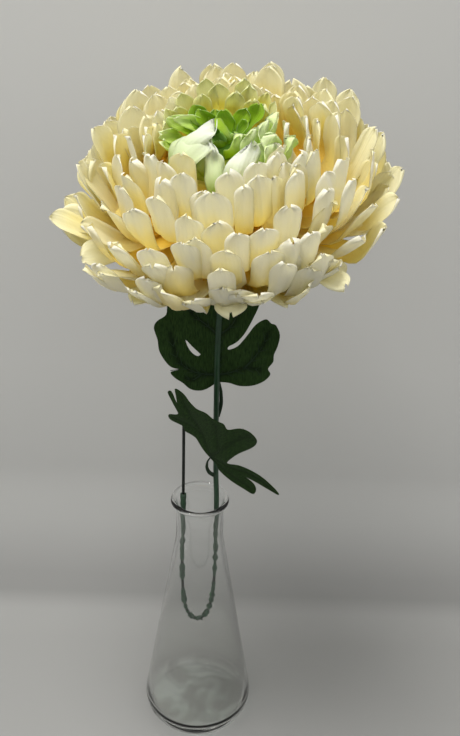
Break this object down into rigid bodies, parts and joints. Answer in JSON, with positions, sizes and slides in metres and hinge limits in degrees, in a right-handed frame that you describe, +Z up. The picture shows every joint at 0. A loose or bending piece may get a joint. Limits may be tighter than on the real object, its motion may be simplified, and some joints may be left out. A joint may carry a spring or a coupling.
{
  "type": "artificial chrysanthemum stem in a bottle vase",
  "caption": "Large cream fabric chrysanthemum with a green centre on a coated wire stem with dark green leaves, standing in a clear glass conical bottle vase.",
  "frame": {"origin": "middle of the vase's flat underside, on the surface it stands on", "axes": "+Z up along the vase's axis; -Y towards the viewer, whom the flower head leans to and whom the lower leaf is nearest; +X to the viewer's right"},
  "size_m": [0.1842, 0.1802, 0.4722],
  "materials": {
    "clear_glass": "clear, polished, with a faint grey-green tint in its thick edges",
    "dark_wire": "dull black annealed steel wire",
    "green_plastic": "satin, slightly wrinkled where it bends",
    "leaf_cloth": "stiffened fine weave with pressed darker veins",
    "cream_cloth": "thin matte cloth, ivory outside, warmer yellow towards the root",
    "lime_cloth": "thin matte cloth, pale yellow-green",
    "green_cloth": "thin matte cloth, fresh green shading to mint and white"
  },
  "bodies": {
    "root": {"vase": "clear_glass", "stem_wire": "dark_wire", "stem_coat": "green_plastic", "calyx": "green_plastic", "leaf_upper": "leaf_cloth", "leaf_lower": "leaf_cloth", "bloom_cream": "cream_cloth", "bloom_lime": "lime_cloth", "bloom_heart": "green_cloth"}
  },
  "joints": []
}
